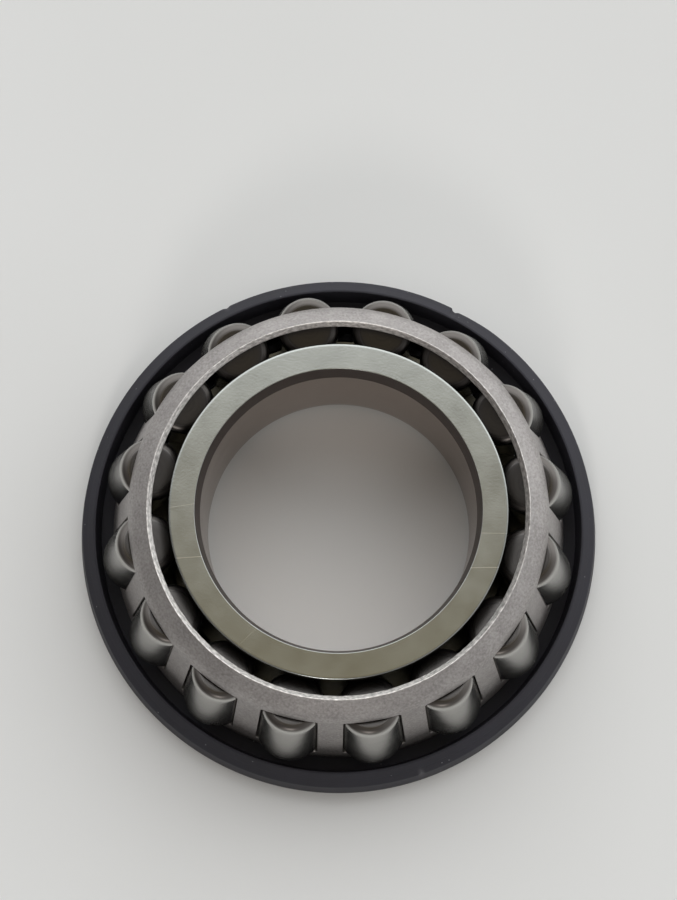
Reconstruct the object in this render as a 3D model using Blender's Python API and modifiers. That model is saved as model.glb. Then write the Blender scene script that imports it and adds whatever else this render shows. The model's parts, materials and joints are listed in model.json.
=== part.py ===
"""Tapered roller bearing: the cone side, with a rubber lip seal on its large rib.

An inner ring, its ring of tapered rollers, the pressed cage that spaces them, and a seal pressed onto
the inner ring's large rib. The bearing's axis is Z, the inner ring's back face lies at Z = 0 and the
rollers' small ends point up. Sizes are in millimetres and degrees, and become metres in the meshes.

Turned outlines are lists of (radius, height) points. Round the rollers, a point is (station, rise):
station runs up the roller's axis from its large end, rise is square to that axis, away from the bore.
"""
import math

import bmesh
import bpy
from mathutils import Euler, Matrix, Vector

MM = 0.001

# Inner ring
BORE = 25.4               # shaft diameter
RACEWAY_WALL = 2.06       # wall under the raceway at the rollers' small ends
LARGE_RIB_WIDTH = 3.0     # back face to the foot of the rib's guiding face
LARGE_RIB_HEIGHT = 2.3    # rib over the raceway's large end
FRONT_RIB_WIDTH = 2.77    # front face to the raceway's small end
FRONT_RIB_HEIGHT = 0.72   # rib over the raceway's small end
RELIEF_WIDTH = 0.6        # grinding relief at each end of the raceway
RELIEF_DEPTH = 0.2
BACK_CORNER = 1.3         # bore's rounded corner at the back face
LEAD_IN_DEPTH = 2.0       # slim lead-in at the front of the bore, along the axis
LEAD_IN_STEP = 0.37       # and across it
RING_EDGE = 0.25          # broken edges of both ribs

# Rollers
ROLLER_COUNT = 16
ROLLER_TILT = 13.0        # roller's axis to the bearing's axis
ROLLER_LENGTH = 9.0
ROLLER_SMALL_DIAMETER = 5.7
ROLLER_EDGE = 0.35        # broken edges of both ends

# Cage
CAGE_SHEET = 0.65
CAGE_RISE = 1.72          # roller's axis to the sheet's outer face
CAGE_NECK = 0.15          # straight sheet between the windows and the bend
CAGE_BEND = 1.95          # inside radius of the bend at the small end
CAGE_LIP_SLOPE = 41.0     # in-turned lip's climb from level
WINDOW_FLANK = 20.0       # coined bevel of the windows' long sides
WINDOW_CORNER = 0.3

# Seal
CASE_SHEET = 0.7          # steel stiffener
CASE_WALL = 2.1           # height of its wall on the rib
CASE_BEND = 0.9           # outside radius between its wall and its flange
CASE_COVER = 1.4          # rubber outside its flange
FLOOR_RUBBER = 0.5        # rubber on its flange
LIP_RUN = 1.4             # slope from the lip's tip out to the rim's shoulder
LIP_DROP = 1.3
LIP_LAND = 0.2            # flat tip of the lip
LIP_DRAFT = 0.2           # lean of the lip's inner side
RIM_FLARE = 0.45          # rim's shoulder to its widest place
RIM_FOOT = 0.3            # height of the slope under the widest place

# Clearances
RUN_GAP = 0.12            # rollers to the raceway and the large rib
FRONT_GAP = 0.4           # rollers' small ends to the front rib
WINDOW_GAP = 0.12         # rollers to the windows' long sides
WINDOW_END_GAP = 0.25     # rollers to the windows' short sides
LIP_GAP = 1.39            # cage's lip to the front rib
CAGE_SEAL_GAP = 0.75      # cage's lower edge to the seal's floor
RIM_GAP = 0.48            # rollers to the seal's lip
LIP_RISE = 0.05           # seal's lip over the rollers' widest corner
SEAT_GAP = 0.12           # seal's stiffener to the rib
BOND_GAP = 0.12           # rubber to its stiffener
SEAL_LIFT = 0.25          # seal over the back face

# Facets
PITCH_FACETS = 5          # ring facets for each roller
ROLLER_FACETS = 20
ARC_FACETS = 4
CREASE = math.radians(30.0)

# Worked out from the sizes above. The rollers' cones share one apex on the bearing's axis.
TILT = math.radians(ROLLER_TILT)
SMALL_RADIUS = ROLLER_SMALL_DIAMETER / 2
RACEWAY_SMALL = BORE / 2 + RACEWAY_WALL
SMALL_END_RADIUS = RACEWAY_SMALL + (SMALL_RADIUS + RUN_GAP) * math.cos(TILT)
TAPER = SMALL_RADIUS * math.sin(TILT) / SMALL_END_RADIUS
LARGE_RADIUS = SMALL_RADIUS + ROLLER_LENGTH * TAPER
AXIS_RADIUS = SMALL_END_RADIUS + ROLLER_LENGTH * math.sin(TILT)
AXIS_HEIGHT = (LARGE_RIB_WIDTH + RUN_GAP * math.cos(TILT)
               + (LARGE_RADIUS + RUN_GAP) * math.sin(TILT))
TIP_RADIUS = AXIS_RADIUS + LARGE_RADIUS * math.cos(TILT)
TIP_HEIGHT = AXIS_HEIGHT + LARGE_RADIUS * math.sin(TILT)
RING_FACETS = PITCH_FACETS * ROLLER_COUNT


def beside_roller(station, rise):
    """The (radius, height) of a point given along and square to a roller's axis."""
    radius = AXIS_RADIUS - station * math.sin(TILT) + rise * math.cos(TILT)
    height = AXIS_HEIGHT + station * math.cos(TILT) + rise * math.sin(TILT)
    return radius, height


def roller_radius(station):
    """The roller's own radius, which falls evenly from its large end to its small end."""
    return LARGE_RADIUS - station * TAPER


def arc(centre, radius, start, end):
    """Points on an arc from one angle to another, in degrees, both ends included."""
    steps = [start + (end - start) * i / ARC_FACETS for i in range(ARC_FACETS + 1)]
    return [(centre[0] + radius * math.cos(math.radians(a)),
             centre[1] + radius * math.sin(math.radians(a))) for a in steps]


RACEWAY_LARGE = beside_roller(0.0, -(LARGE_RADIUS + RUN_GAP))[0]
LARGE_RIB_RADIUS = RACEWAY_LARGE + LARGE_RIB_HEIGHT
FRONT_RIB_RADIUS = RACEWAY_SMALL + FRONT_RIB_HEIGHT
RING_WIDTH = beside_roller(ROLLER_LENGTH, -(SMALL_RADIUS + RUN_GAP))[1] + FRONT_RIB_WIDTH
CASE_BORE = LARGE_RIB_RADIUS + SEAT_GAP
FLANGE_TOP = SEAL_LIFT + CASE_SHEET
FLOOR_TOP = FLANGE_TOP + BOND_GAP + FLOOR_RUBBER
LIP_RADIUS = TIP_RADIUS + RIM_GAP
LIP_HEIGHT = TIP_HEIGHT + LIP_RISE
RIM_RADIUS = LIP_RADIUS + LIP_RUN + RIM_FLARE


def named_collection(name):
    """A new collection in the scene."""
    collection = bpy.data.collections.new(name)
    bpy.context.scene.collection.children.link(collection)
    return collection


def principled(name, color, roughness, metallic):
    """A plain Principled material."""
    material = bpy.data.materials.new(name)
    material.use_nodes = True
    shader = material.node_tree.nodes["Principled BSDF"]
    shader.inputs["Base Color"].default_value = (*color, 1.0)
    shader.inputs["Roughness"].default_value = roughness
    shader.inputs["Metallic"].default_value = metallic
    return material


def turned(name, outline, facets, collection):
    """An object turned round Z: a closed outline, or an open one with both ends on the axis."""
    mesh = bpy.data.meshes.new(name)
    points = [(radius * MM, 0.0, height * MM) for radius, height in outline]
    edges = [(i, i + 1) for i in range(len(points) - 1)]
    if outline[0][0] > 0.0:
        edges.append((len(points) - 1, 0))
    mesh.from_pydata(points, edges, [])
    obj = bpy.data.objects.new(name, mesh)
    collection.objects.link(obj)
    screw = obj.modifiers.new("turn", "SCREW")
    screw.axis = "Z"
    screw.angle = 2 * math.pi
    screw.steps = facets
    screw.render_steps = facets
    screw.use_merge_vertices = True
    screw.merge_threshold = 0.00001
    return obj


def settle(obj, material):
    """Keep the evaluated shape as the object's own mesh, smooth between its crisp edges."""
    evaluated = obj.evaluated_get(bpy.context.evaluated_depsgraph_get())
    mesh = bpy.data.meshes.new_from_object(evaluated)
    obj.modifiers.clear()
    obj.data = mesh
    mesh.name = obj.name
    mesh.shade_smooth()
    mesh.set_sharp_from_angle(angle=CREASE)
    mesh.materials.clear()
    mesh.materials.append(material)


def inner_ring_outline():
    """Front face, front rib, raceway between its reliefs, large rib, back face and bore."""
    small_side = ROLLER_LENGTH + FRONT_GAP
    rib_side = -RUN_GAP

    def below_roller(station, depth):
        """A point the running gap and a depth under the roller."""
        return beside_roller(station, -(roller_radius(station) + RUN_GAP + depth))

    def rib_point(station, radius):
        """Where a rib's side, square to the rollers' axes, reaches a radius."""
        start = beside_roller(station, 0.0)
        return radius, start[1] + (radius - start[0]) * math.tan(TILT)

    rib_edge = rib_point(rib_side, LARGE_RIB_RADIUS - RING_EDGE)
    relief_foot = RELIEF_WIDTH - RELIEF_DEPTH
    bore_radius = BORE / 2
    corner = arc((bore_radius + BACK_CORNER, BACK_CORNER), BACK_CORNER, 270.0, 180.0)
    return [
        (FRONT_RIB_RADIUS - RING_EDGE, RING_WIDTH),
        (FRONT_RIB_RADIUS, RING_WIDTH - RING_EDGE),
        rib_point(small_side, FRONT_RIB_RADIUS),
        below_roller(small_side, RELIEF_DEPTH),
        below_roller(ROLLER_LENGTH - relief_foot, RELIEF_DEPTH),
        below_roller(ROLLER_LENGTH - RELIEF_WIDTH, 0.0),
        below_roller(RELIEF_WIDTH, 0.0),
        below_roller(relief_foot, RELIEF_DEPTH),
        below_roller(rib_side, RELIEF_DEPTH),
        rib_edge,
        (LARGE_RIB_RADIUS, rib_edge[1] - RING_EDGE),
        (LARGE_RIB_RADIUS, RING_EDGE),
        (LARGE_RIB_RADIUS - RING_EDGE, 0.0),
        *corner,
        (bore_radius, RING_WIDTH - LEAD_IN_DEPTH),
        (bore_radius + LEAD_IN_STEP, RING_WIDTH),
    ]


def roller_outline():
    """Small end, broken edge, tapered side, broken edge and large end, on the roller's own axis."""
    upper = ROLLER_LENGTH - ROLLER_EDGE
    return [
        (0.0, ROLLER_LENGTH),
        (SMALL_RADIUS - ROLLER_EDGE, ROLLER_LENGTH),
        (roller_radius(upper), upper),
        (roller_radius(ROLLER_EDGE), ROLLER_EDGE),
        (LARGE_RADIUS - ROLLER_EDGE, 0.0),
        (0.0, 0.0),
    ]


def cage_outline():
    """The bent sheet: lip, bend and wall down the outer face, then back up the inner face."""
    inner_rise = CAGE_RISE - CAGE_SHEET
    bend_station = ROLLER_LENGTH + WINDOW_END_GAP + CAGE_NECK
    bend_centre = beside_roller(bend_station, inner_rise - CAGE_BEND)
    lip_normal = 90.0 - CAGE_LIP_SLOPE
    slope = math.radians(CAGE_LIP_SLOPE)
    outer_bend = arc(bend_centre, CAGE_BEND + CAGE_SHEET, lip_normal, ROLLER_TILT)
    inner_bend = arc(bend_centre, CAGE_BEND, ROLLER_TILT, lip_normal)
    lip_edge = FRONT_RIB_RADIUS + LIP_GAP
    lip_length = (inner_bend[-1][0] - lip_edge) / math.cos(slope)

    def along_lip(start):
        """The point a lip's length in from the end of a bend."""
        return start[0] - lip_length * math.cos(slope), start[1] + lip_length * math.sin(slope)

    lower_height = FLOOR_TOP + CAGE_SEAL_GAP
    level = beside_roller(0.0, inner_rise)[1]
    lower_station = (lower_height - level) / math.cos(TILT)
    return [
        along_lip(outer_bend[0]),
        *outer_bend,
        beside_roller(lower_station, CAGE_RISE),
        beside_roller(lower_station, inner_rise),
        *inner_bend,
        along_lip(inner_bend[-1]),
    ]


def case_outline():
    """The seal's stiffener: a wall on the rib and a flange that reaches out under the rubber."""
    wall_top = SEAL_LIFT + CASE_WALL
    wall_radius = CASE_BORE + CASE_SHEET
    flange_radius = RIM_RADIUS - CASE_COVER
    bend = arc((CASE_BORE + CASE_BEND, SEAL_LIFT + CASE_BEND), CASE_BEND, 270.0, 180.0)
    return [
        (CASE_BORE, wall_top),
        (wall_radius, wall_top),
        (wall_radius, FLANGE_TOP),
        (flange_radius, FLANGE_TOP),
        (flange_radius, SEAL_LIFT),
        *bend,
    ]


def rubber_outline():
    """The seal's lip and rim, and the thin floor that covers its stiffener."""
    shoulder = LIP_RADIUS + LIP_RUN
    foot_top = SEAL_LIFT + RIM_FOOT
    rubber_bore = RIM_RADIUS - CASE_COVER + BOND_GAP
    floor_bore = CASE_BORE + CASE_SHEET + BOND_GAP
    floor_low = FLANGE_TOP + BOND_GAP
    return [
        (LIP_RADIUS, LIP_HEIGHT),
        (LIP_RADIUS + LIP_LAND, LIP_HEIGHT),
        (shoulder, LIP_HEIGHT - LIP_DROP),
        (RIM_RADIUS, foot_top),
        (RIM_RADIUS - RIM_FOOT, SEAL_LIFT),
        (rubber_bore, SEAL_LIFT),
        (rubber_bore, floor_low),
        (floor_bore, floor_low),
        (floor_bore, FLOOR_TOP),
        (LIP_RADIUS - LIP_DRAFT, FLOOR_TOP),
    ]


def roller_placement(index):
    """Where a roller stands: its large end's centre, leaning in towards the bearing's axis."""
    turn = 2 * math.pi * index / ROLLER_COUNT
    place = Vector((AXIS_RADIUS * math.cos(turn), AXIS_RADIUS * math.sin(turn), AXIS_HEIGHT))
    return place * MM, Euler((0.0, -TILT, turn))


def window_half_width(station, rise):
    """Half a window's width: its bevelled sides run the window gap outside the roller."""
    flank = math.radians(WINDOW_FLANK)
    reach = roller_radius(station) + WINDOW_GAP
    return (reach - rise * math.sin(flank)) / math.cos(flank)


def window_cutter(collection):
    """One wedge for each roller, from its axis out through the sheet, with rounded corners."""
    shape = bmesh.new()
    stations = {-1: -WINDOW_END_GAP, 1: ROLLER_LENGTH + WINDOW_END_GAP}
    rises = {-1: 0.0, 1: CAGE_RISE + CAGE_SHEET}
    for index in range(ROLLER_COUNT):
        place, turn = roller_placement(index)
        placement = Matrix.LocRotScale(place, turn, None)
        corners = bmesh.ops.create_cube(shape, size=2.0)["verts"]
        edges = {edge for corner in corners for edge in corner.link_edges}
        upright = [edge for edge in edges if abs(edge.verts[0].co.x - edge.verts[1].co.x) > 1.0]
        for corner in corners:
            side = round(corner.co.y)
            rise = rises[round(corner.co.x)]
            station = stations[round(corner.co.z)]
            width = side * window_half_width(station, rise)
            corner.co = placement @ (Vector((rise, width, station)) * MM)
        bmesh.ops.bevel(shape, geom=upright, offset=WINDOW_CORNER * MM, segments=2, profile=0.5,
                        affect="EDGES")
    mesh = bpy.data.meshes.new("window_cutter")
    shape.to_mesh(mesh)
    shape.free()
    cutter = bpy.data.objects.new("window_cutter", mesh)
    cutter.hide_render = True
    cutter.display_type = "WIRE"
    collection.objects.link(cutter)
    return cutter


def build():
    """Make the inner ring, the seal, the cage and the rollers, with the cage's set on its axis."""
    for obj in list(bpy.data.objects):
        bpy.data.objects.remove(obj)
    parts = named_collection("tapered_roller_bearing")
    cutters = named_collection("cutters")
    ground_steel = principled("ground_ring_steel", (0.40, 0.41, 0.40), 0.30, 1.0)
    roller_steel = principled("ground_roller_steel", (0.46, 0.46, 0.45), 0.25, 1.0)
    cage_steel = principled("pressed_cage_steel", (0.43, 0.41, 0.41), 0.45, 1.0)
    case_steel = principled("blackened_case_steel", (0.06, 0.06, 0.065), 0.45, 1.0)
    rubber = principled("nitrile_rubber", (0.022, 0.022, 0.025), 0.55, 0.0)

    settle(turned("inner_ring", inner_ring_outline(), RING_FACETS, parts), ground_steel)
    settle(turned("seal_case", case_outline(), RING_FACETS, parts), case_steel)
    settle(turned("seal_rubber", rubber_outline(), RING_FACETS, parts), rubber)

    cage_axis = bpy.data.objects.new("cage_axis", None)
    parts.objects.link(cage_axis)
    cage = turned("cage", cage_outline(), RING_FACETS, parts)
    windows = cage.modifiers.new("windows", "BOOLEAN")
    windows.operation = "DIFFERENCE"
    windows.solver = "EXACT"
    windows.object = window_cutter(cutters)
    settle(cage, cage_steel)
    cage.parent = cage_axis

    first = turned("roller_01", roller_outline(), ROLLER_FACETS, parts)
    settle(first, roller_steel)
    for index in range(ROLLER_COUNT):
        roller = first
        if index > 0:
            roller = bpy.data.objects.new(f"roller_{index + 1:02d}", first.data)
            parts.objects.link(roller)
        roller.location, roller.rotation_euler = roller_placement(index)
        roller.parent = cage_axis


build()
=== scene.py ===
import json
import math

import bmesh
import bpy
import numpy as np
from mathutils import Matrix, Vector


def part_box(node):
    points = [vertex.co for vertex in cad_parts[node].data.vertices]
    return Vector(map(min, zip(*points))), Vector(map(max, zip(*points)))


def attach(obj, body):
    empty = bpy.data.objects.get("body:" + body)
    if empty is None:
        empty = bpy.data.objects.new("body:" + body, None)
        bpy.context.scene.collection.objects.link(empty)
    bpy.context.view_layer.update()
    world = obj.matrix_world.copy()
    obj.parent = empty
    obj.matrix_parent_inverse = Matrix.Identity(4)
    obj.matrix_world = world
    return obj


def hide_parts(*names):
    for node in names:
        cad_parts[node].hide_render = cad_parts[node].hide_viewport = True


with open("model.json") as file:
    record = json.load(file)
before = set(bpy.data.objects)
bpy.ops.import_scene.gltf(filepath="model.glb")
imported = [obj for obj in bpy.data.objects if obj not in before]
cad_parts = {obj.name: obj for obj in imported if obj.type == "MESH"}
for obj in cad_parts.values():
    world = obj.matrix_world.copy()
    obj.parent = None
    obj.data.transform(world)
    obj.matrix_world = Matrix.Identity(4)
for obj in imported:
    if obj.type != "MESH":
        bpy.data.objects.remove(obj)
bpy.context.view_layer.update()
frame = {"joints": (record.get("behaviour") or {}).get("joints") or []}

# Inner ring
# The bearing's cone: one ring of hardened bearing steel, turned, then ground on its faces, ribs and raceway.
# It is pressed onto a shaft; the slim lead-in at the front of its bore is left as turned.
MM = 0.001                        # sizes are in millimetres, and the frame is in metres
RING_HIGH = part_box("inner_ring")[1]
RING_WIDTH = RING_HIGH.z / MM
LARGE_RIB = RING_HIGH.x / MM      # radius of the large rib
FRONT_RIB = 15.48                 # radius of the front rib
BORE = 12.7                       # radius of the bore
LEAD_IN_DEPTH = 2.0               # lead-in along the bore
LEAD_IN_STEP = 0.37               # and across it
BACK_CORNER = 1.3                 # rounded corner of the bore at the back face
RELIEF_WIDTH = 0.6                # grinding relief at each end of the raceway
RELIEF_DEPTH = 0.2
RUN_GAP = 0.12                    # raceway and large rib to the rollers
FRONT_GAP = 0.4                   # front rib to the rollers' small ends
FRONT_EDGE = 0.2                  # rounded edge of the front rib
RIB_EDGE = 0.25                   # broken edges of the large rib
FINE_EDGE = 0.05                  # edges that only grinding has eased
ROLLER_LENGTH = 9.0
LARGE_RADIUS = 3.17684            # roller's radius at its large end
SMALL_RADIUS = 2.85               # and at its small end
RING_STEPS = 384                  # steps round a full ring
EDGE_STEPS = 4                    # steps round an eased edge
WELD = 0.0005                     # points nearer than this are one point
NEAR_BORE = 0.01                  # points nearer than this to the bore's wall are on it

# The first roller's joint gives the line that the raceway and the cage follow.
SPIN = next(joint for joint in frame["joints"] if joint["name"] == "roller_01_spin")
TILT = math.atan2(-SPIN["axis"][0], SPIN["axis"][2])
AXIS_RADIUS = SPIN["pos_m"][0] / MM + ROLLER_LENGTH / 2 * math.sin(TILT)
AXIS_HEIGHT = SPIN["pos_m"][2] / MM - ROLLER_LENGTH / 2 * math.cos(TILT)
TAPER = (LARGE_RADIUS - SMALL_RADIUS) / ROLLER_LENGTH


def beside_roller(station, rise):
    """(radius, height): up a roller's axis from its large end by station, out from that axis by rise."""
    radius = AXIS_RADIUS - station * math.sin(TILT) + rise * math.cos(TILT)
    height = AXIS_HEIGHT + station * math.cos(TILT) + rise * math.sin(TILT)
    return radius, height


def linear(colour):
    """An sRGB hex colour as linear RGBA: the sRGB curve undone for each channel."""
    parts = np.array([int(colour[i:i + 2], 16) for i in (1, 3, 5)]) / 255
    curve = np.where(parts <= 0.04045, parts / 12.92, ((parts + 0.055) / 1.055) ** 2.4)
    return (*curve.tolist(), 1.0)


def add_node(tree, kind, inputs, **settings):
    """A node with its settings; each input takes a value, or a link from another node's output."""
    node = tree.nodes.new(kind)
    for name, value in settings.items():
        setattr(node, name, value)
    for name, value in inputs.items():
        if isinstance(value, bpy.types.NodeSocket):
            tree.links.new(value, node.inputs[name])
        else:
            node.inputs[name].default_value = value
    return node


def new_material(name):
    """A named material's node tree, its shader and its Object coordinates in metres."""
    material = bpy.data.materials.new(name)
    material.use_nodes = True
    tree = material.node_tree
    place = add_node(tree, "ShaderNodeTexCoord", {}).outputs["Object"]
    return material, tree, tree.nodes["Principled BSDF"], place


def eased(corners, closed=True, steps=EDGE_STEPS):
    """Points along an outline of (radius, height, ease) corners.

    Each corner becomes the curve (1-t)^2 A + 2t(1-t) C + t^2 B, where C is the corner and A and B lie the
    ease along its two sides. One more point half an ease beyond A and B keeps the sides flat in shading.
    """
    corners = np.array(corners, float)
    point, ease = corners[:, None, :2], corners[:, None, 2:]
    before = np.roll(point, 1, axis=0) - point
    after = np.roll(point, -1, axis=0) - point
    before /= np.linalg.norm(before, axis=2, keepdims=True)
    after /= np.linalg.norm(after, axis=2, keepdims=True)
    t = np.linspace(0, 1, steps + 1)[None, :, None]
    bend = point + ease * ((1 - t) ** 2 * before + t ** 2 * after)
    bend = np.concatenate([point + 1.5 * ease * before, bend, point + 1.5 * ease * after], axis=1)
    if closed:
        return np.concatenate([bend.reshape(-1, 2), bend[0, :1]])
    return np.concatenate([point[0], bend[1:-1].reshape(-1, 2), point[-1]])


def turned(outline, angles):
    """A grid of points: each outline point (radius, height) carried round the axis through the angles."""
    radius, height = outline.T[:, None]
    angle = angles[:, None]
    return np.stack([radius * np.cos(angle), radius * np.sin(angle), height + 0 * angle], axis=2)


def skin(name, grids, material, marks=None):
    """A closed smooth mesh from grids of points in millimetres, welded where the grids' edges meet.

    Grid point (i, j) joins (i+1, j), (i+1, j+1) and (i, j+1) in one face. A mark is a vertex attribute,
    given as one array for each grid.
    """
    points, faces, first = [], [], 0
    for grid in grids:
        rows, columns = grid.shape[:2]
        index = first + np.arange(rows * columns).reshape(rows, columns)
        corners = [index[:-1, :-1], index[1:, :-1], index[1:, 1:], index[:-1, 1:]]
        faces.append(np.stack(corners, axis=2).reshape(-1, 4))
        points.append(grid.reshape(-1, 3) * MM)
        first += rows * columns
    mesh = bpy.data.meshes.new(name)
    mesh.from_pydata(np.concatenate(points).tolist(), [], np.concatenate(faces).tolist())
    for label, values in (marks or {}).items():
        attribute = mesh.attributes.new(label, "FLOAT", "POINT")
        attribute.data.foreach_set("value", np.concatenate([value.ravel() for value in values]))
    shape = bmesh.new()
    shape.from_mesh(mesh)
    bmesh.ops.remove_doubles(shape, verts=shape.verts, dist=WELD * MM)
    bmesh.ops.recalc_face_normals(shape, faces=shape.faces)
    shape.to_mesh(mesh)
    shape.free()
    mesh.shade_smooth()
    mesh.materials.append(material)
    piece = bpy.data.objects.new(name, mesh)
    bpy.context.scene.collection.objects.link(piece)
    return piece


def below_roller(station, depth, ease):
    """A raceway corner: the running gap and a depth under the roller."""
    return (*beside_roller(station, -(LARGE_RADIUS - station * TAPER + RUN_GAP + depth)), ease)


def rib_side(station, radius, ease):
    """A rib corner: where the rib's side, square to the roller's axis, reaches a radius."""
    start = beside_roller(station, 0.0)
    return radius, start[1] + (radius - start[0]) * math.tan(TILT), ease


# Ground bearing steel: a cool grey mirror blurred by fine grinding, faintly mottled, with a few light
# scratches on the front face. The bore is browned by old oil, and the lead-in keeps a dark skin from heat
# treatment. The raceway and the back of the front rib carry painted shade: they are painted dark because the
# gap under the cage lies in shade.
MOTTLE = 2.4                      # cloudy patches of the grinding
GRAIN = 0.2                       # its grit, drawn coarser than life so that it shows
GRAIN_DEPTH = 0.003
GROUND_BLUR = (0.17, 0.27)        # roughness of the ground faces
TURNED_BLUR = 0.42                # and of the lead-in
SCRATCH_WIDTH = 0.07
SCRATCHES = [                     # degrees at the bore, degrees at the front rib, strength
    (213.3, 210.4, 0.45), (348.3, 353.2, 0.5), (191.0, 193.0, 0.22), (3.4, 5.0, 0.25), (249.5, 247.5, 0.16),
]
ring_steel, tree, shader, place = new_material("ground_bearing_steel")
mottle = add_node(tree, "ShaderNodeTexNoise", {
    "Vector": place, "Scale": 1 / (MOTTLE * MM), "Detail": 3.0}).outputs["Fac"]
grain = add_node(tree, "ShaderNodeTexNoise", {
    "Vector": place, "Scale": 1 / (GRAIN * MM), "Detail": 1.0}).outputs["Fac"]
as_turned = add_node(tree, "ShaderNodeAttribute", {}, attribute_name="as_turned").outputs["Fac"]
bored = add_node(tree, "ShaderNodeAttribute", {}, attribute_name="bored").outputs["Fac"]
painted_shade = add_node(tree, "ShaderNodeAttribute", {}, attribute_name="painted_shade").outputs["Fac"]
ground = add_node(tree, "ShaderNodeMix", {
    "Factor": mottle, "A": linear("#9fa29f"), "B": linear("#b5b8b4")}, data_type="RGBA").outputs["Result"]
tone = add_node(tree, "ShaderNodeMix", {
    "Factor": bored, "A": ground, "B": linear("#a79a92")}, data_type="RGBA").outputs["Result"]
# Painted shade: the raceway and the back of the front rib are painted dark, where the gap under the cage is
# shaded.
tone = add_node(tree, "ShaderNodeMix", {
    "Factor": painted_shade, "A": tone, "B": linear("#3b3533")}, data_type="RGBA").outputs["Result"]
tone = add_node(tree, "ShaderNodeMix", {
    "Factor": as_turned, "A": tone, "B": linear("#5b524e")}, data_type="RGBA").outputs["Result"]

scratched = 0.0
for inner, outer, strength in SCRATCHES:
    start, end = [
        reach * np.array([math.cos(math.radians(degrees)), math.sin(math.radians(degrees)), 0.0])
        for reach, degrees in ((BORE, inner), (FRONT_RIB, outer))
    ]
    way = (end - start) / np.linalg.norm(end - start)
    beside = np.array([-way[1], way[0], 0.0])
    off_line = add_node(tree, "ShaderNodeVectorMath", {
        0: place, 1: beside.tolist()}, operation="DOT_PRODUCT").outputs["Value"]
    on_line = add_node(tree, "ShaderNodeMath", {
        0: off_line, 1: float(start @ beside) * MM, 2: SCRATCH_WIDTH / 2 * MM},
        operation="COMPARE").outputs["Value"]
    ahead = add_node(tree, "ShaderNodeVectorMath", {
        0: place, 1: way.tolist()}, operation="DOT_PRODUCT").outputs["Value"]
    on_side = add_node(tree, "ShaderNodeMath", {0: ahead, 1: 0.0}, operation="GREATER_THAN").outputs["Value"]
    line = add_node(tree, "ShaderNodeMath", {0: on_line, 1: on_side}, operation="MULTIPLY").outputs["Value"]
    scratched = add_node(tree, "ShaderNodeMath", {
        0: line, 1: strength, 2: scratched}, operation="MULTIPLY_ADD").outputs["Value"]
above = add_node(tree, "ShaderNodeSeparateXYZ", {"Vector": place}).outputs["Z"]
on_front = add_node(tree, "ShaderNodeMath", {
    0: above, 1: RING_WIDTH * MM, 2: FINE_EDGE * MM}, operation="COMPARE").outputs["Value"]
scratched = add_node(tree, "ShaderNodeMath", {
    0: scratched, 1: on_front}, operation="MULTIPLY").outputs["Value"]
tone = add_node(tree, "ShaderNodeMix", {
    "Factor": scratched, "A": tone, "B": linear("#f1f1ed")}, data_type="RGBA").outputs["Result"]
ground_blur = add_node(tree, "ShaderNodeMapRange", {
    "Value": mottle, "To Min": GROUND_BLUR[0], "To Max": GROUND_BLUR[1]}).outputs["Result"]
blur = add_node(tree, "ShaderNodeMix", {
    "Factor": as_turned, "A": ground_blur, "B": TURNED_BLUR}).outputs["Result"]
relief = add_node(tree, "ShaderNodeBump", {"Height": grain, "Distance": GRAIN_DEPTH * MM}).outputs["Normal"]
tree.links.new(tone, shader.inputs["Base Color"])
tree.links.new(blur, shader.inputs["Roughness"])
tree.links.new(relief, shader.inputs["Normal"])
shader.inputs["Metallic"].default_value = 1.0

relief_foot = RELIEF_WIDTH - RELIEF_DEPTH
rib_top = rib_side(-RUN_GAP, LARGE_RIB - RIB_EDGE, FINE_EDGE)
ring_outline = eased([
    (FRONT_RIB, RING_WIDTH, FRONT_EDGE),
    rib_side(ROLLER_LENGTH + FRONT_GAP, FRONT_RIB, FINE_EDGE),
    below_roller(ROLLER_LENGTH + FRONT_GAP, RELIEF_DEPTH, FINE_EDGE),
    below_roller(ROLLER_LENGTH - relief_foot, RELIEF_DEPTH, FINE_EDGE),
    below_roller(ROLLER_LENGTH - RELIEF_WIDTH, 0.0, FINE_EDGE),
    below_roller(RELIEF_WIDTH, 0.0, FINE_EDGE),
    below_roller(relief_foot, RELIEF_DEPTH, FINE_EDGE),
    below_roller(-RUN_GAP, RELIEF_DEPTH, FINE_EDGE),
    rib_top,
    (LARGE_RIB, rib_top[1] - RIB_EDGE, FINE_EDGE),
    (LARGE_RIB, RIB_EDGE, FINE_EDGE),
    (LARGE_RIB - RIB_EDGE, 0.0, FINE_EDGE),
    (BORE, 0.0, BACK_CORNER),
    (BORE, RING_WIDTH - LEAD_IN_DEPTH, FINE_EDGE),
    (BORE + LEAD_IN_STEP, RING_WIDTH, FINE_EDGE),
])
ring_angles = np.linspace(0, 2 * np.pi, RING_STEPS + 1)
ring_radius, ring_height = ring_outline.T
lead_in = (ring_height > RING_WIDTH - LEAD_IN_DEPTH) & (ring_radius < BORE + LEAD_IN_STEP)
in_bore = ring_radius < BORE + NEAR_BORE
between_ribs = (ring_height > rib_top[1]) & (ring_height < RING_WIDTH - FRONT_EDGE)
# The painted shade covers the raceway, its reliefs and the front rib's back.
raceway = between_ribs & (ring_radius > BORE + LEAD_IN_STEP)
inner_ring = skin("ground_inner_ring", [turned(ring_outline, ring_angles)], ring_steel, {
    "as_turned": [np.tile(lead_in.astype(float), (len(ring_angles), 1))],
    "bored": [np.tile(in_bore.astype(float), (len(ring_angles), 1))],
    "painted_shade": [np.tile(raceway.astype(float), (len(ring_angles), 1))],
})
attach(inner_ring, "inner_ring")
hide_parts("inner_ring")

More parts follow.
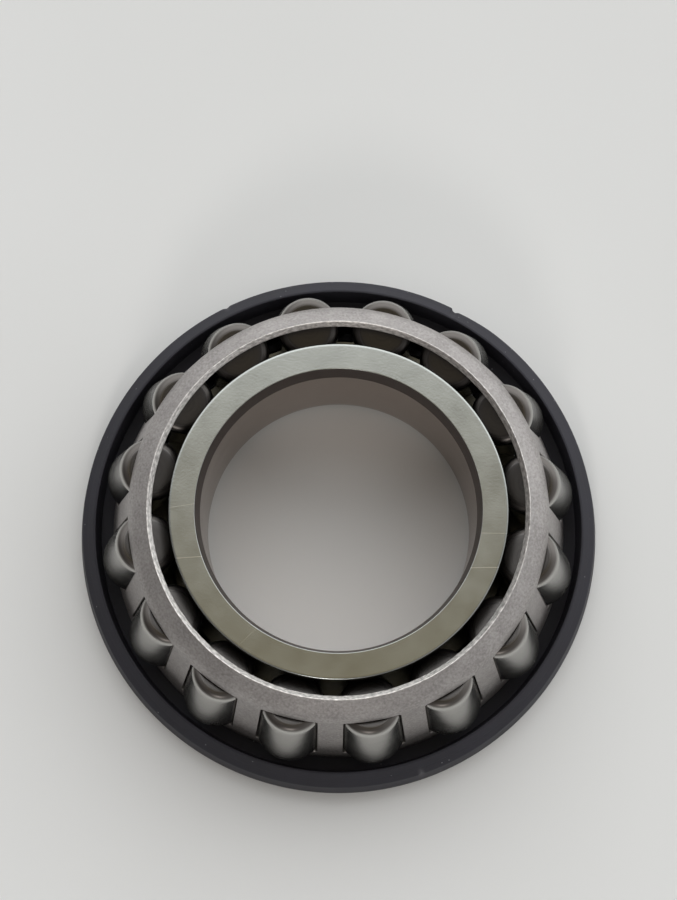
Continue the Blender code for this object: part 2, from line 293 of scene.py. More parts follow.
# Rollers
# Sixteen tapered rollers of through-hardened bearing steel, ground on their sides and turned on their ends.
# Each lies loose in a window of the cage and rolls on the inner ring.
ROLLER_COUNT = 16
SMALL_ROUND = 0.9                 # rounding of the small end
LARGE_ROUND = 0.5                 # and of the large end
ROUND_STEPS = 8
ROLLER_STEPS = 96
ROUND_FADE = 0.2                  # share of the rounding over which the satin turns matte
END_START = 0.75                  # share of the rounding at which the turned end begins

# Satin roller steel: a long soft highlight over faint grinding rings. The rounded edges are tumbled matte,
# and the end faces keep the dark skin of heat treatment, with fine turning rings.
RING_PITCH = 0.16                 # grinding and turning rings, drawn coarser than life so that they show
RING_DEPTH = 0.001
PATCH = 1.6                       # cloudy patches of the satin
SIDE_BLUR = (0.16, 0.27)          # roughness of the sides
ROUNDED_BLUR = 0.38               # of the rounded edges
END_BLUR = 0.27                   # and of the ends
roller_steel, tree, shader, place = new_material("satin_roller_steel")
along = add_node(tree, "ShaderNodeAttribute", {}, attribute_name="along").outputs["Fac"]
as_turned = add_node(tree, "ShaderNodeAttribute", {}, attribute_name="as_turned").outputs["Fac"]
rounded = add_node(tree, "ShaderNodeAttribute", {}, attribute_name="rounded").outputs["Fac"]
rings = add_node(tree, "ShaderNodeTexNoise", {
    "W": along, "Scale": 1 / RING_PITCH, "Detail": 2.0}, noise_dimensions="1D").outputs["Fac"]
patch = add_node(tree, "ShaderNodeTexNoise", {
    "Vector": place, "Scale": 1 / (PATCH * MM), "Detail": 2.0}).outputs["Fac"]
side_tone = add_node(tree, "ShaderNodeMix", {
    "Factor": rings, "A": linear("#b2b1ad"), "B": linear("#d2d0cc")}, data_type="RGBA").outputs["Result"]
end_tone = add_node(tree, "ShaderNodeMix", {
    "Factor": rings, "A": linear("#403e3d"), "B": linear("#696664")}, data_type="RGBA").outputs["Result"]
tone = add_node(tree, "ShaderNodeMix", {
    "Factor": rounded, "A": side_tone, "B": linear("#625e5b")}, data_type="RGBA").outputs["Result"]
tone = add_node(tree, "ShaderNodeMix", {
    "Factor": as_turned, "A": tone, "B": end_tone}, data_type="RGBA").outputs["Result"]
side_blur = add_node(tree, "ShaderNodeMapRange", {
    "Value": patch, "To Min": SIDE_BLUR[0], "To Max": SIDE_BLUR[1]}).outputs["Result"]
blur = add_node(tree, "ShaderNodeMix", {
    "Factor": rounded, "A": side_blur, "B": ROUNDED_BLUR}).outputs["Result"]
blur = add_node(tree, "ShaderNodeMix", {"Factor": as_turned, "A": blur, "B": END_BLUR}).outputs["Result"]
relief = add_node(tree, "ShaderNodeBump", {"Height": rings, "Distance": RING_DEPTH * MM}).outputs["Normal"]
tree.links.new(tone, shader.inputs["Base Color"])
tree.links.new(blur, shader.inputs["Roughness"])
tree.links.new(relief, shader.inputs["Normal"])
shader.inputs["Metallic"].default_value = 1.0
shader.inputs["Specular Tint"].default_value = linear("#dedede")

roller_outline = eased([
    (0.0, ROLLER_LENGTH, 0.0),
    (SMALL_RADIUS, ROLLER_LENGTH, SMALL_ROUND),
    (LARGE_RADIUS, 0.0, LARGE_ROUND),
    (0.0, 0.0, 0.0),
], closed=False, steps=ROUND_STEPS)
roller_angles = np.linspace(0, 2 * np.pi, ROLLER_STEPS + 1)
roller_grid = turned(roller_outline, roller_angles)
roller_radius, roller_height = roller_outline.T
travel = np.concatenate([[0.0], np.cumsum(np.hypot(np.diff(roller_radius), np.diff(roller_height)))])
end_radius, end_round = np.where(
    roller_height > ROLLER_LENGTH / 2, [[SMALL_RADIUS], [SMALL_ROUND]], [[LARGE_RADIUS], [LARGE_ROUND]])
in_from_edge = (end_radius - roller_radius) / end_round
roller_marks = {
    "along": [np.tile(travel, (len(roller_angles), 1))],
    "as_turned": [np.tile((in_from_edge > END_START).astype(float), (len(roller_angles), 1))],
    "rounded": [np.tile(np.clip(in_from_edge / ROUND_FADE, 0, 1), (len(roller_angles), 1))],
}
for index in range(ROLLER_COUNT):
    turn = 2 * math.pi * index / ROLLER_COUNT
    out = np.array([math.cos(turn), math.sin(turn), 0.0])
    up = np.array([0.0, 0.0, 1.0])
    lean = np.array([
        math.cos(TILT) * out + math.sin(TILT) * up,
        np.cross(up, out),
        math.cos(TILT) * up - math.sin(TILT) * out,
    ])
    body = f"roller_{index + 1:02d}"
    placed = roller_grid @ lean + AXIS_RADIUS * out + AXIS_HEIGHT * up
    roller = skin(f"ground_{body}", [placed], roller_steel, roller_marks)
    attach(roller, body)
    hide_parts(body)

# Cage
# One blank of mild steel sheet, drawn to a cone with an in-turned lip. Its windows are punched, then coined
# so that their long sides lie on the rollers, and the whole cage is tumbled. The lip's edge is sheared.
CAGE_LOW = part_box("cage")[0]
CAGE_SHEET = 0.65
CAGE_RISE = 1.72                  # roller's axis to the sheet's outer face
CAGE_NECK = 0.15                  # straight sheet between the windows and the bend
CAGE_BEND = 1.95                  # inside radius of the bend
LIP_SLOPE = math.radians(41.0)    # lip's climb from level
LIP_EDGE = 16.87                  # radius of the lip's lower corner
WINDOW_FLANK = math.radians(20)   # coined bevel of the windows' long sides
WINDOW_GAP = 0.12                 # rollers to the windows' long sides
WINDOW_END_GAP = 0.25             # rollers to the windows' short sides
WINDOW_CORNER = 0.3
SHEET_EDGE = 0.09                 # edges rounded by tumbling
SHEAR_RAGGED = 0.03               # unevenness of the sheared edge
SHEAR_START = 0.6                 # share of the rounded corner at which it begins
SHEAR_SEED = 7
FLANK_STEPS = 24                  # steps along a window's long side
END_STEPS = 16                    # steps along its short side
CORNER_STEPS = 6                  # steps round its corner
BEND_STEPS = 12
ROUND_POINTS = 4                  # points round a tumbled window edge
SETTLE_STEPS = 4                  # rounds in which a window's outline settles on the cone
FACE_SHARES = [0.0, 0.3, 0.6, 0.85, 0.95]    # rows of the cone's faces, from the border in to a window
INNER_RISE = CAGE_RISE - CAGE_SHEET
CAGE_FOOT = (CAGE_LOW.z / MM - AXIS_HEIGHT - INNER_RISE * math.sin(TILT)) / math.cos(TILT)
CAGE_TOP = ROLLER_LENGTH + WINDOW_END_GAP + CAGE_NECK
HALF_PITCH = math.pi / ROLLER_COUNT

# Tumbled mild steel: a matte, faintly warm grey with fine grain and small smoother dents. The sheared edge is
# brighter, with torn streaks along it. The inner faces carry painted shade, dark where they lie over the
# rollers.
TUMBLE_GRAIN = 0.24               # drawn coarser than life so that it shows
TUMBLE_DEPTH = 0.008
TUMBLE_PATCH = 2.2
PATCH_SHARE = 0.5                 # strength of the patches beside the grain
DENT_PITCH = 0.4
DENT_RADIUS = 0.085
DENT_SLOPE = 0.22
TEAR_LENGTH = 0.45                # streaks along the sheared edge
TEAR_WIDTH = 0.14
TUMBLED_BLUR = (0.66, 0.5)        # roughness of the darkest and the palest grain
SHEARED_BLUR = 0.4
DENT_BLUR = 0.34
cage_steel, tree, shader, place = new_material("tumbled_mild_steel")
grain = add_node(tree, "ShaderNodeTexNoise", {
    "Vector": place, "Scale": 1 / (TUMBLE_GRAIN * MM), "Detail": 2.0}).outputs["Fac"]
patch = add_node(tree, "ShaderNodeTexNoise", {
    "Vector": place, "Scale": 1 / (TUMBLE_PATCH * MM), "Detail": 3.0}).outputs["Fac"]
split = add_node(tree, "ShaderNodeSeparateXYZ", {"Vector": place}).outputs
round_axis = add_node(tree, "ShaderNodeMath", {
    0: split["Y"], 1: split["X"]}, operation="ARCTAN2").outputs["Value"]
along_tear = add_node(tree, "ShaderNodeMath", {
    0: round_axis, 1: LIP_EDGE / TEAR_LENGTH}, operation="MULTIPLY").outputs["Value"]
across_tear = add_node(tree, "ShaderNodeMath", {
    0: split["Z"], 1: 1 / (TEAR_WIDTH * MM)}, operation="MULTIPLY").outputs["Value"]
streak_place = add_node(tree, "ShaderNodeCombineXYZ", {"X": along_tear, "Y": across_tear}).outputs["Vector"]
tears = add_node(tree, "ShaderNodeTexNoise", {
    "Vector": streak_place, "Scale": 1.0, "Detail": 3.0}, noise_dimensions="2D").outputs["Fac"]
cells = add_node(tree, "ShaderNodeTexVoronoi", {"Vector": place, "Scale": 1 / (DENT_PITCH * MM)}).outputs
dent = add_node(tree, "ShaderNodeMath", {
    0: cells["Distance"], 1: DENT_RADIUS / DENT_PITCH}, operation="LESS_THAN").outputs["Value"]
dent_depth = add_node(tree, "ShaderNodeMath", {
    0: cells["Distance"], 1: DENT_RADIUS / DENT_PITCH}, operation="MINIMUM").outputs["Value"]
sheared = add_node(tree, "ShaderNodeAttribute", {}, attribute_name="sheared").outputs["Fac"]
dent = add_node(tree, "ShaderNodeMath", {0: dent, 1: sheared}, operation="GREATER_THAN").outputs["Value"]
painted_shade = add_node(tree, "ShaderNodeAttribute", {}, attribute_name="painted_shade").outputs["Fac"]
mixed = add_node(tree, "ShaderNodeMath", {
    0: patch, 1: PATCH_SHARE, 2: grain}, operation="MULTIPLY_ADD").outputs["Value"]
tumbled = add_node(tree, "ShaderNodeMix", {
    "Factor": mixed, "A": linear("#736e6d"), "B": linear("#b4b0ae")}, data_type="RGBA").outputs["Result"]
torn_share = add_node(tree, "ShaderNodeMapRange", {
    "Value": tears, "From Min": 0.3, "From Max": 0.7}).outputs["Result"]
torn = add_node(tree, "ShaderNodeMix", {
    "Factor": torn_share, "A": linear("#aeaaa7"), "B": linear("#efebe7")}, data_type="RGBA").outputs["Result"]
tone = add_node(tree, "ShaderNodeMix", {
    "Factor": sheared, "A": tumbled, "B": torn}, data_type="RGBA").outputs["Result"]
# Painted shade: the inner faces are painted dark.
tone = add_node(tree, "ShaderNodeMix", {
    "Factor": painted_shade, "A": tone, "B": linear("#332f2e")}, data_type="RGBA").outputs["Result"]
tumbled_blur = add_node(tree, "ShaderNodeMapRange", {
    "Value": mixed, "From Max": 1 + PATCH_SHARE,
    "To Min": TUMBLED_BLUR[0], "To Max": TUMBLED_BLUR[1]}).outputs["Result"]
blur = add_node(tree, "ShaderNodeMix", {
    "Factor": sheared, "A": tumbled_blur, "B": SHEARED_BLUR}).outputs["Result"]
blur = add_node(tree, "ShaderNodeMix", {"Factor": dent, "A": blur, "B": DENT_BLUR}).outputs["Result"]
relief = add_node(tree, "ShaderNodeBump", {"Height": grain, "Distance": TUMBLE_DEPTH * MM}).outputs["Normal"]
relief = add_node(tree, "ShaderNodeBump", {
    "Strength": dent, "Height": dent_depth, "Distance": DENT_SLOPE * DENT_PITCH * MM,
    "Normal": relief}).outputs["Normal"]
tree.links.new(tone, shader.inputs["Base Color"])
tree.links.new(blur, shader.inputs["Roughness"])
tree.links.new(relief, shader.inputs["Normal"])
shader.inputs["Metallic"].default_value = 1.0


def window_loop(rise, grow):
    """One window's outline on the cone at a rise, grown by an amount: (angle, station) points.

    In the roller's own frame the long sides keep across * cos f + rise * sin f = roller radius + gap, with f
    the flank's bevel, and the short sides lie at fixed stations. A corner is eased over the corner radius.
    Each point is then turned onto the cone: angle = asin(across / radius), and the cone's own station is
    lower by radius * (1 - cos angle) * sin tilt.
    """
    stations = np.array([-WINDOW_END_GAP, ROLLER_LENGTH + WINDOW_END_GAP])
    radius = beside_roller(stations, rise)[0]
    reach = LARGE_RADIUS - stations * TAPER + WINDOW_GAP
    half = reach
    for _ in range(SETTLE_STEPS):
        local_rise = rise - math.cos(TILT) * (radius - np.sqrt(radius ** 2 - half ** 2))
        half = (reach - local_rise * math.sin(WINDOW_FLANK)) / math.cos(WINDOW_FLANK)
    half = half + grow
    low, high = stations + np.array([-grow, grow])
    corner = np.array([(half[0], low), (half[1], high), (-half[1], high), (-half[0], low)])
    ease = WINDOW_CORNER + grow
    t = np.linspace(0, 1, CORNER_STEPS + 1)[:, None]
    sides = []
    for here, (steps, start) in enumerate(zip([FLANK_STEPS, END_STEPS] * 2, corner)):
        before, end, after = corner[here - 1], corner[(here + 1) % 4], corner[(here + 2) % 4]
        back, ahead, past = [d / np.linalg.norm(d) for d in (before - start, end - start, after - end)]
        first = start + ease * ((1 - t) ** 2 * back + t ** 2 * ahead)
        last = end + ease * ((1 - t) ** 2 * -ahead + t ** 2 * past)
        middle = np.linspace(first[-1], last[0], steps + 1)
        sides += [first[CORNER_STEPS // 2:-1], middle, last[1:CORNER_STEPS // 2]]
    across, local_station = np.concatenate(sides).T
    station = local_station
    for _ in range(SETTLE_STEPS):
        radius = beside_roller(station, rise)[0]
        angle = np.arcsin(across / radius)
        station = local_station - radius * (1 - np.cos(angle)) * math.sin(TILT)
    return np.stack([angle, station], axis=1)


def pitch_border():
    """The border of one roller's share of the cone, as (angle, station) points that pair with a window's."""
    foot, top = CAGE_FOOT + SHEET_EDGE, CAGE_TOP
    corner = np.array([(HALF_PITCH, foot), (HALF_PITCH, top), (-HALF_PITCH, top), (-HALF_PITCH, foot)])
    steps = np.array([FLANK_STEPS, END_STEPS] * 2) + CORNER_STEPS
    return np.concatenate([
        np.linspace(corner[side], corner[(side + 1) % 4], steps[side] + 1)[:-1] for side in range(4)
    ])


def on_cone(angle, station, rise):
    """Points of the cone at a rise over the rollers' axes."""
    radius, height = beside_roller(station, rise)
    return np.stack([radius * np.cos(angle), radius * np.sin(angle), height], axis=-1)


# Rows from the border in to the window on the outer face, through the sheet, and back out on the inner face.
quarter = np.linspace(0, math.pi / 2, ROUND_POINTS)
edge_round = [(SHEET_EDGE * (1 - math.cos(a)), SHEET_EDGE * (1 - math.sin(a))) for a in quarter]
rows = [(CAGE_RISE, SHEET_EDGE, share) for share in FACE_SHARES]
rows += [(CAGE_RISE - drop, grow, 1.0) for drop, grow in edge_round]
rows += [((CAGE_RISE + INNER_RISE) / 2, 0.0, 1.0)]
rows += [(INNER_RISE + drop, grow, 1.0) for drop, grow in edge_round[::-1]]
rows += [(INNER_RISE, SHEET_EDGE, share) for share in FACE_SHARES[::-1]]
border = pitch_border()
cell = []
for rise, grow, share in rows:
    angle, station = ((1 - share) * border + share * window_loop(rise, grow)).T
    cell.append(on_cone(angle, station, rise))
cell = np.stack(cell)
cell = np.concatenate([cell, cell[:, :1]], axis=1)
cage_grids = []
for index in range(ROLLER_COUNT):
    c, s = math.cos(2 * HALF_PITCH * index), math.sin(2 * HALF_PITCH * index)
    cage_grids.append(cell @ np.array([(c, s, 0), (-s, c, 0), (0, 0, 1)]))

# The bend and the lip above the windows, and the foot below them, turned with the border's own angles. The
# sheared edge is moved in and out along the lip by small random steps.
bend_centre = np.array(beside_roller(CAGE_TOP, INNER_RISE - CAGE_BEND))
swing = np.linspace(TILT, math.pi / 2 - LIP_SLOPE, BEND_STEPS + 1)
swing_way = np.stack([np.cos(swing), np.sin(swing)], axis=1)
outer_bend = bend_centre + (CAGE_BEND + CAGE_SHEET) * swing_way
inner_bend = bend_centre + CAGE_BEND * swing_way
lip_way = np.array([-math.cos(LIP_SLOPE), math.sin(LIP_SLOPE)])
lip_length = (inner_bend[-1, 0] - LIP_EDGE) / math.cos(LIP_SLOPE)
lip_end = eased([
    (*outer_bend[-1], 0.0),
    (*(outer_bend[-1] + lip_length * lip_way), SHEET_EDGE),
    (*(inner_bend[-1] + lip_length * lip_way), SHEET_EDGE),
    (*inner_bend[-1], 0.0),
], closed=False)
lip_outline = np.concatenate([outer_bend, lip_end[1:-1], inner_bend[::-1]])
foot_outline = eased([
    (*beside_roller(CAGE_FOOT + SHEET_EDGE, CAGE_RISE), 0.0),
    (*beside_roller(CAGE_FOOT, CAGE_RISE), SHEET_EDGE),
    (*beside_roller(CAGE_FOOT, INNER_RISE), SHEET_EDGE),
    (*beside_roller(CAGE_FOOT + SHEET_EDGE, INNER_RISE), 0.0),
], closed=False)
end_count = ROLLER_COUNT * (END_STEPS + CORNER_STEPS)
end_angles = np.linspace(-HALF_PITCH, 2 * np.pi - HALF_PITCH, end_count + 1)
lip_grid = turned(lip_outline, end_angles)
along_lip = (lip_outline - inner_bend[-1]) @ lip_way
lip_sheared = (along_lip > lip_length - SHEAR_START * SHEET_EDGE).astype(float)
ragged = np.random.default_rng(SHEAR_SEED).uniform(0.0, SHEAR_RAGGED, len(end_angles))
ragged[-1] = ragged[0]
retreat = -lip_way * (ragged[:, None] * lip_sheared)[..., None]
lip_grid[..., 0] += retreat[..., 0] * np.cos(end_angles)[:, None]
lip_grid[..., 1] += retreat[..., 0] * np.sin(end_angles)[:, None]
lip_grid[..., 2] += retreat[..., 1]
cage_grids += [lip_grid, turned(foot_outline, end_angles)]
shear_marks = [np.zeros(grid.shape[:2]) for grid in cage_grids]
shear_marks[-2] += lip_sheared
# Painted shade on the sheet's inner face and the inner side of the bend, where they lie in shade over the
# rollers.
inside = np.array([[rise == INNER_RISE] for rise, _, _ in rows], float)
lip_inside = (np.arange(len(lip_outline)) > len(lip_outline) - len(inner_bend)).astype(float)
painted_shade_marks = [np.zeros(grid.shape[:2]) for grid in cage_grids]
for marks in painted_shade_marks[:ROLLER_COUNT]:
    marks += inside
painted_shade_marks[-2] += lip_inside
cage = skin("pressed_cage", cage_grids, cage_steel, {"sheared": shear_marks, "painted_shade": painted_shade_marks})
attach(cage, "cage")
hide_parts("cage")

# Seal stiffener
# A ring of blackened steel sheet, pressed with its wall on the inner ring's large rib. Its flange reaches out
# under the rubber, which is bonded to it.
CASE_LOW, CASE_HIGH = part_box("seal_case")
CASE_GAP = 0.12                   # stiffener to the large rib
CASE_BORE = LARGE_RIB + CASE_GAP
CASE_SHEET = 0.7
CASE_BEND = 0.9                   # outside rounding of the bend
CASE_EDGE = 0.08
CASE_FLANGE = CASE_HIGH.x / MM
CASE_FOOT = CASE_LOW.z / MM
CASE_TOP = CASE_HIGH.z / MM

# Blackened steel: a thin dark oxide with a low, cloudy sheen.
OXIDE_CLOUD = 1.8
OXIDE_BLUR = (0.36, 0.54)
case_steel, tree, shader, place = new_material("blackened_steel")
cloud = add_node(tree, "ShaderNodeTexNoise", {
    "Vector": place, "Scale": 1 / (OXIDE_CLOUD * MM), "Detail": 3.0}).outputs["Fac"]
tone = add_node(tree, "ShaderNodeMix", {
    "Factor": cloud, "A": linear("#363639"), "B": linear("#5b5a5c")}, data_type="RGBA").outputs["Result"]
blur = add_node(tree, "ShaderNodeMapRange", {
    "Value": cloud, "To Min": OXIDE_BLUR[0], "To Max": OXIDE_BLUR[1]}).outputs["Result"]
tree.links.new(tone, shader.inputs["Base Color"])
tree.links.new(blur, shader.inputs["Roughness"])
shader.inputs["Metallic"].default_value = 1.0

case_outline = eased([
    (CASE_BORE, CASE_TOP, CASE_EDGE),
    (CASE_BORE + CASE_SHEET, CASE_TOP, CASE_EDGE),
    (CASE_BORE + CASE_SHEET, CASE_FOOT + CASE_SHEET, CASE_EDGE),
    (CASE_FLANGE, CASE_FOOT + CASE_SHEET, CASE_EDGE),
    (CASE_FLANGE, CASE_FOOT, CASE_EDGE),
    (CASE_BORE, CASE_FOOT, CASE_BEND),
])
seal_case = skin("seal_stiffener", [turned(case_outline, ring_angles)], case_steel)
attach(seal_case, "inner_ring")
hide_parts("seal_case")

# Seal rubber
# A rim and lip of black nitrile rubber, moulded onto the stiffener. The lip leans in over the rollers' large
# ends. A notch is torn out of its shoulder, and the rim has two small nicks.
SEAL_LOW, SEAL_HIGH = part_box("seal_rubber")
RIM = SEAL_HIGH.x / MM            # radius at the rim's widest place
RIM_FLARE = 0.45                  # rim's shoulder to its widest place
LIP_RUN = 1.4                     # slope from the lip's tip out to the shoulder
LIP_DROP = 1.3
LIP_LAND = 0.2                    # flat tip of the lip
LIP_DRAFT = 0.2                   # lean of the lip's inner side
MOULD_STEP = 0.05                 # step where two parts of the mould met, half-way down the slope
RIM_FOOT = 0.3                    # height of the slope under the widest place
BOND_GAP = 0.12                   # rubber to its stiffener
RUBBER_EDGE = 0.12
LIP_TIP = RIM - RIM_FLARE - LIP_RUN
LIP_TOP = SEAL_HIGH.z / MM
SEAL_FOOT = SEAL_LOW.z / MM
SHOULDER = RIM - RIM_FLARE
SHOULDER_TOP = LIP_TOP - LIP_DROP
FLOOR_TOP = 1.57                  # top of the rubber over the flange
NOTCH = 75.5                      # degrees
NOTCH_OFFSETS = [-9.0, -1.6, -0.9, -0.3, 0.35, 0.95]      # degrees from the notch
NOTCH_DEPTHS = [0.0, 0.12, 0.15, 0.3, 0.32, 0.0]
NICKS = [(130.0, 0.14), (302.0, 0.12)]                    # degrees and depth
NICK_WIDTH = 0.9                                          # degrees
NICK_PALE = 0.45                  # strength of the pale mark in a nick
FINE_REACH = 1.8                  # degrees each side of the notch and nicks with finer steps
FINE_STEPS = 48

# Nitrile rubber: satin black with a faint blue cast, a cloudy bloom and specks of dust. Nicks are paler.
BLOOM = 4.0
MOULD_GRAIN = 0.3                 # drawn coarser than life so that it shows
DUST_PITCH = 1.2
DUST_RADIUS = 0.06
MOULD_DEPTH = 0.005
RUBBER_BLUR = (0.5, 0.75)
rubber, tree, shader, place = new_material("moulded_nitrile_rubber")
bloom = add_node(tree, "ShaderNodeTexNoise", {
    "Vector": place, "Scale": 1 / (BLOOM * MM), "Detail": 4.0}).outputs["Fac"]
grain = add_node(tree, "ShaderNodeTexNoise", {
    "Vector": place, "Scale": 1 / (MOULD_GRAIN * MM), "Detail": 2.0}).outputs["Fac"]
cells = add_node(tree, "ShaderNodeTexVoronoi", {"Vector": place, "Scale": 1 / (DUST_PITCH * MM)}).outputs
dust = add_node(tree, "ShaderNodeMath", {
    0: cells["Distance"], 1: DUST_RADIUS / DUST_PITCH}, operation="LESS_THAN").outputs["Value"]
scuffed = add_node(tree, "ShaderNodeAttribute", {}, attribute_name="scuffed").outputs["Fac"]
pale = add_node(tree, "ShaderNodeMath", {0: dust, 1: scuffed}, operation="MAXIMUM").outputs["Value"]
tone = add_node(tree, "ShaderNodeMix", {
    "Factor": bloom, "A": linear("#222126"), "B": linear("#33323a")}, data_type="RGBA").outputs["Result"]
tone = add_node(tree, "ShaderNodeMix", {
    "Factor": pale, "A": tone, "B": linear("#7d7c80")}, data_type="RGBA").outputs["Result"]
blur = add_node(tree, "ShaderNodeMapRange", {
    "Value": bloom, "To Min": RUBBER_BLUR[0], "To Max": RUBBER_BLUR[1]}).outputs["Result"]
relief = add_node(tree, "ShaderNodeBump", {"Height": grain, "Distance": MOULD_DEPTH * MM}).outputs["Normal"]
tree.links.new(tone, shader.inputs["Base Color"])
tree.links.new(blur, shader.inputs["Roughness"])
tree.links.new(relief, shader.inputs["Normal"])
shader.inputs["Specular IOR Level"].default_value = 0.3

floor_low = CASE_FOOT + CASE_SHEET + BOND_GAP
floor_bore = CASE_BORE + CASE_SHEET + BOND_GAP
slope_middle = (LIP_TIP + LIP_LAND + SHOULDER) / 2
slope_height = LIP_TOP - LIP_DROP / 2
rubber_outline = eased([
    (LIP_TIP, LIP_TOP, LIP_LAND / 3),
    (LIP_TIP + LIP_LAND, LIP_TOP, LIP_LAND / 3),
    (slope_middle, slope_height, MOULD_STEP / 3),
    (slope_middle, slope_height - MOULD_STEP, MOULD_STEP / 3),
    (SHOULDER, SHOULDER_TOP, RUBBER_EDGE),
    (RIM, SEAL_FOOT + RIM_FOOT, RUBBER_EDGE),
    (RIM - RIM_FOOT, SEAL_FOOT, RUBBER_EDGE),
    (CASE_FLANGE + BOND_GAP, SEAL_FOOT, RUBBER_EDGE),
    (CASE_FLANGE + BOND_GAP, floor_low, RUBBER_EDGE),
    (floor_bore, floor_low, RUBBER_EDGE),
    (floor_bore, FLOOR_TOP, RUBBER_EDGE),
    (LIP_TIP - LIP_DRAFT, FLOOR_TOP, RUBBER_EDGE),
])
close_by = np.radians(np.linspace(-FINE_REACH, FINE_REACH, FINE_STEPS + 1))
fine_angles = [math.radians(spot) + close_by for spot in (NOTCH, *[spot for spot, _ in NICKS])]
rubber_angles = np.unique(np.concatenate([ring_angles, *fine_angles]))
round_rim = np.degrees(rubber_angles)
notch_depth = np.interp(round_rim - NOTCH, NOTCH_OFFSETS, NOTCH_DEPTHS)
nick_share = [np.clip(1 - np.abs(round_rim - spot) / NICK_WIDTH, 0, 1) for spot, _ in NICKS]
nick_depth = sum(depth * share for share, (_, depth) in zip(nick_share, NICKS))
rubber_radius, rubber_height = rubber_outline.T
wall_foot = SEAL_FOOT + RIM_FOOT
up_slope = np.clip((rubber_radius - LIP_TIP) / (SHOULDER - LIP_TIP), 0, 1)
up_wall = np.clip((rubber_height - wall_foot) / (SHOULDER_TOP - wall_foot), 0, 1)

# The cuts are deepest at the shoulder and fade along the slope and the wall, the nicks faster than the notch.
by_shoulder = up_slope * up_wall
cut = (notch_depth[:, None] + nick_depth[:, None] * by_shoulder ** 3) * by_shoulder
rubber_grid = turned(rubber_outline, rubber_angles)
rubber_grid[..., :2] *= (1 - cut / rubber_radius)[..., None]
scuff = NICK_PALE * sum(nick_share)[:, None] * by_shoulder ** 6
seal_rubber = skin("moulded_seal", [rubber_grid], rubber, {"scuffed": [scuff]})
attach(seal_rubber, "inner_ring")
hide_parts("seal_rubber")

# Floor, light and camera
# A plain pale floor under the ring's back face, a soft studio sky that is brightest beyond the far side, one
# small lamp on the near side, and a camera above the near side at the photograph's angle.
scene = bpy.context.scene
FLOOR_SIZE = 6.0                  # metres
FLOOR_DROP = -0.02 * MM           # clear of the ring's back face
FLOOR_CLOUD = 60.0
FLOOR_BLUR = 0.7
FAR_TURN = math.radians(13.4)     # far side of the picture, turned from +Y towards -X
FAR = (-math.sin(FAR_TURN), math.cos(FAR_TURN), 0.0)
RIGHT = (math.cos(FAR_TURN), math.sin(FAR_TURN), 0.0)

# Matte floor: a pale, faintly cloudy sheet.
floor_paint, tree, shader, place = new_material("pale_matte_floor")
cloud = add_node(tree, "ShaderNodeTexNoise", {
    "Vector": place, "Scale": 1 / (FLOOR_CLOUD * MM), "Detail": 2.0}).outputs["Fac"]
tone = add_node(tree, "ShaderNodeMix", {
    "Factor": cloud, "A": linear("#dddddb"), "B": linear("#e9e9e8")}, data_type="RGBA").outputs["Result"]
tree.links.new(tone, shader.inputs["Base Color"])
shader.inputs["Roughness"].default_value = FLOOR_BLUR
reach = FLOOR_SIZE / 2
floor_mesh = bpy.data.meshes.new("floor")
floor_corners = [(x * reach, y * reach, FLOOR_DROP) for x, y in ((-1, -1), (1, -1), (1, 1), (-1, 1))]
floor_mesh.from_pydata(floor_corners, [], [(0, 1, 2, 3)])
floor_mesh.materials.append(floor_paint)
floor = bpy.data.objects.new("floor", floor_mesh)
scene.collection.objects.link(floor)

# The sky glows beyond the far side, less on the right and least on the left. It is dim and warm overhead and
# dim on the near side.
SKY_LEVEL = 2.0
FAR_RAMP = (0.15, 0.38)           # cosine to the far way where the glow starts and is full
LEFT_RAMP = (-0.9, -0.15)         # cosine to the right, over which the left's shade ends
LEFT_LEVEL = 0.25                 # share of the glow that is left there
RIGHT_START = 0.1                 # cosine to the right where its own glow starts
RIGHT_LEVEL = 0.4
OVERHEAD_START = 0.94             # cosine to straight up
world = bpy.data.worlds.new("soft_studio")
world.use_nodes = True
scene.world = world
tree = world.node_tree
sky_way = add_node(tree, "ShaderNodeTexCoord", {}).outputs["Generated"]
far_share = add_node(tree, "ShaderNodeVectorMath", {
    0: sky_way, 1: FAR}, operation="DOT_PRODUCT").outputs["Value"]
right_share = add_node(tree, "ShaderNodeVectorMath", {
    0: sky_way, 1: RIGHT}, operation="DOT_PRODUCT").outputs["Value"]
far_glow = add_node(tree, "ShaderNodeMapRange", {
    "Value": far_share, "From Min": FAR_RAMP[0], "From Max": FAR_RAMP[1]},
    interpolation_type="SMOOTHSTEP").outputs["Result"]
left_shade = add_node(tree, "ShaderNodeMapRange", {
    "Value": right_share, "From Min": LEFT_RAMP[0], "From Max": LEFT_RAMP[1], "To Min": LEFT_LEVEL},
    interpolation_type="SMOOTHSTEP").outputs["Result"]
far_glow = add_node(tree, "ShaderNodeMath", {
    0: far_glow, 1: left_shade}, operation="MULTIPLY").outputs["Value"]
right_glow = add_node(tree, "ShaderNodeMapRange", {
    "Value": right_share, "From Min": RIGHT_START, "To Max": RIGHT_LEVEL},
    interpolation_type="SMOOTHSTEP").outputs["Result"]
glow = add_node(tree, "ShaderNodeMath", {0: far_glow, 1: right_glow}, use_clamp=True).outputs["Value"]
up_share = add_node(tree, "ShaderNodeSeparateXYZ", {"Vector": sky_way}).outputs["Z"]
overhead = add_node(tree, "ShaderNodeMapRange", {
    "Value": up_share, "From Min": OVERHEAD_START}, interpolation_type="SMOOTHSTEP").outputs["Result"]
dim_tone = add_node(tree, "ShaderNodeMix", {
    "Factor": overhead, "A": linear("#5a5857"), "B": linear("#776d56")}, data_type="RGBA").outputs["Result"]
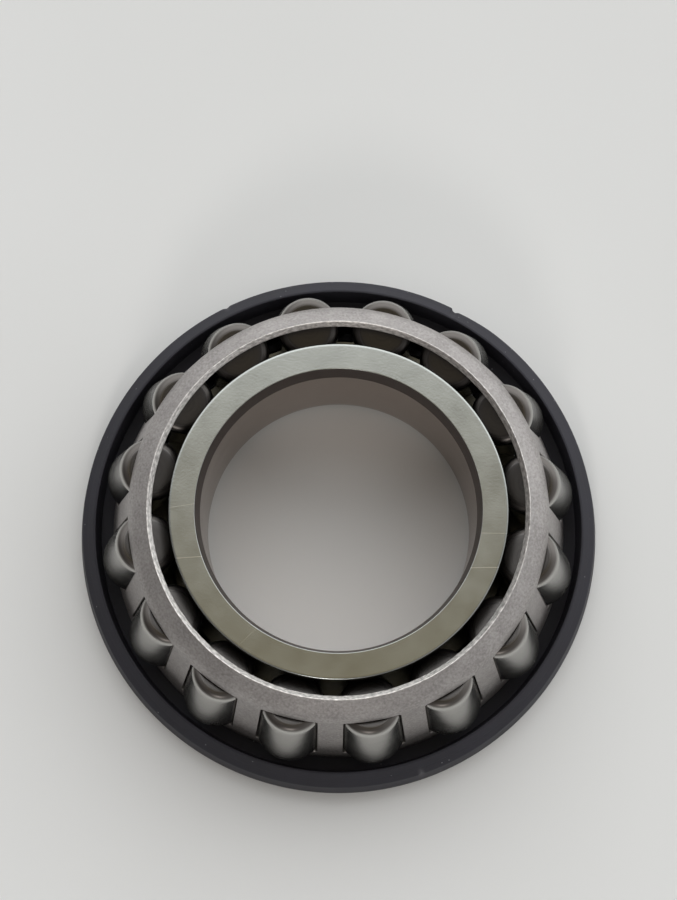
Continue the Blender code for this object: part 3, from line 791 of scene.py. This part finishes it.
sky_tone = add_node(tree, "ShaderNodeMix", {
    "Factor": glow, "A": dim_tone, "B": linear("#fafcfd")}, data_type="RGBA").outputs["Result"]
sky = tree.nodes["Background"]
tree.links.new(sky_tone, sky.inputs["Color"])
sky.inputs["Strength"].default_value = SKY_LEVEL

# A small round lamp beyond the near side, aimed at the ring.
LAMP_DISTANCE = 0.6               # metres
LAMP_SIZE = 0.12
LAMP_POWER = 0.5                  # watts
LAMP_LEAN = math.radians(53.0)    # from straight above
LAMP_TURN = math.radians(5.0)     # from the near side towards the left
lamp_data = bpy.data.lights.new("near_lamp", "AREA")
lamp_data.shape = "DISK"
lamp_data.size = LAMP_SIZE
lamp_data.energy = LAMP_POWER
lamp_data.color = linear("#fffcf8")[:3]
lamp = bpy.data.objects.new("near_lamp", lamp_data)
lamp_way = FAR_TURN - LAMP_TURN
lamp.location = LAMP_DISTANCE * np.array([
    math.sin(LAMP_LEAN) * math.sin(lamp_way),
    -math.sin(LAMP_LEAN) * math.cos(lamp_way),
    math.cos(LAMP_LEAN),
])
lamp.rotation_euler = (LAMP_LEAN, 0.0, lamp_way)
scene.collection.objects.link(lamp)

# The camera looks down at the front face from the near side.
CAMERA_DISTANCE = 178.0           # lens to the centre of the ring's front face
CAMERA_LEAN = math.radians(9.5)   # from straight above, towards the near side
CAMERA_LIFT = 1.717               # degrees of aim beyond the ring's centre, which lies low in the picture
FOCAL = 78.48
eye = np.array([0, 0, RING_WIDTH]) + CAMERA_DISTANCE * np.array([
    -FAR[0] * math.sin(CAMERA_LEAN),
    -FAR[1] * math.sin(CAMERA_LEAN),
    math.cos(CAMERA_LEAN),
])
camera_data = bpy.data.cameras.new("camera")
camera_data.lens = FOCAL
camera_data.clip_start = 0.01
camera = bpy.data.objects.new("camera", camera_data)
camera.location = eye * MM
camera.rotation_euler = (CAMERA_LEAN + math.radians(CAMERA_LIFT), 0.0, FAR_TURN)
scene.collection.objects.link(camera)
scene.camera = camera
scene.view_settings.view_transform = "Standard"
